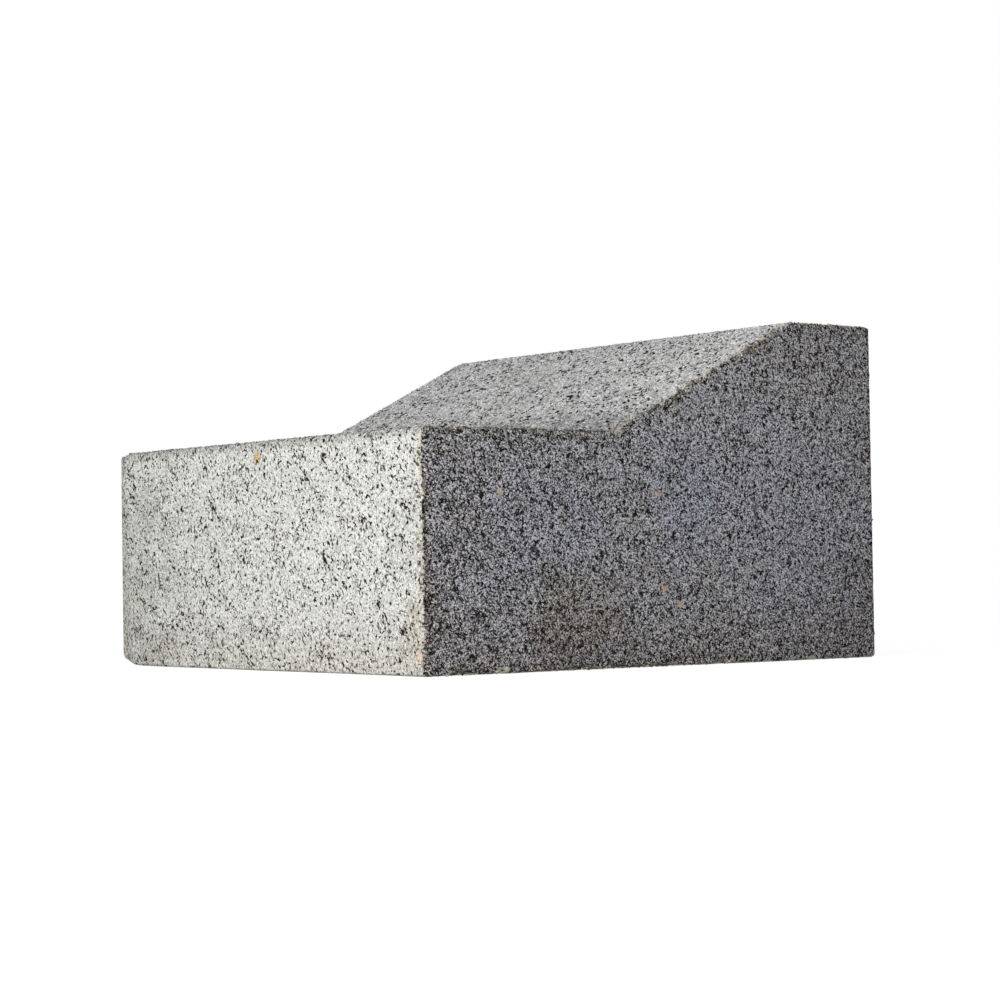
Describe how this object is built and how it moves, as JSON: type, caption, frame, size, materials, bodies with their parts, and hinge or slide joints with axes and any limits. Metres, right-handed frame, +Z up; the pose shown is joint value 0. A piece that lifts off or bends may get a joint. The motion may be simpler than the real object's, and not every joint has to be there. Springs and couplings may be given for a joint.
{
  "type": "ramp kerb stone",
  "caption": "Cast concrete kerb stone with a level ledge that turns up through a hollow into a ramp and ends in a narrow level top, for edging a pavement.",
  "frame": {"origin": "middle of the bed face, at floor level", "axes": "+X along the kerb line towards the square joint face, +Y from the road face to the footway face, +Z up"},
  "size_m": [0.25, 0.25, 0.15],
  "materials": {
    "concrete": "pale grey cast concrete, pitted, with a coarser and darker joint face"
  },
  "bodies": {
    "root": {"kerb_stone": "concrete"}
  },
  "joints": []
}
